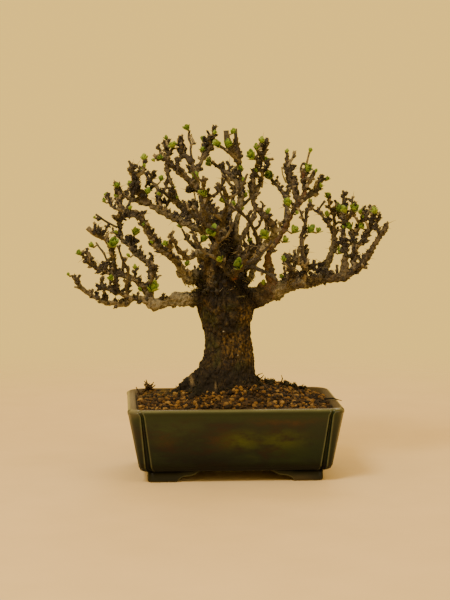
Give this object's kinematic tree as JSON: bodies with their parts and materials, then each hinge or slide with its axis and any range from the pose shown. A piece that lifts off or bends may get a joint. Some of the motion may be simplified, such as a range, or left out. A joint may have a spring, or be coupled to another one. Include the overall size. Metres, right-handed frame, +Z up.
{
  "type": "bonsai tree",
  "caption": "Small thorny shrub bonsai with a stout trunk, wide twiggy crown and opening buds, in a low flared rectangular pot on four bracket feet.",
  "frame": {"origin": "bottom centre of the bonsai's bounding box, on the surface that the pot's feet stand on", "axes": "+X along the pot's long side, towards the crown's right as seen from the front; -Y towards the viewer; +Z up"},
  "size_m": [0.2546, 0.1682, 0.2749],
  "materials": {
    "glaze": "glossy dark green stoneware glaze, lighter where it breaks over edges",
    "screen": "matt dark plastic net",
    "wire": "copper-coloured soft wire",
    "grit": "rough coarse grit",
    "soil": "dry granular baked clay",
    "bark": "rough dark bark, paler on the limbs, with green buds",
    "weed": "dry thin stems"
  },
  "bodies": {
    "root": {"pot": "glaze", "drain_screen_left": "screen", "drain_screen_right": "screen", "screen_clip_left": "wire", "screen_clip_right": "wire", "drainage_grit": "grit", "soil": "soil", "tree": "bark", "weed_tuft": "weed"}
  },
  "joints": []
}
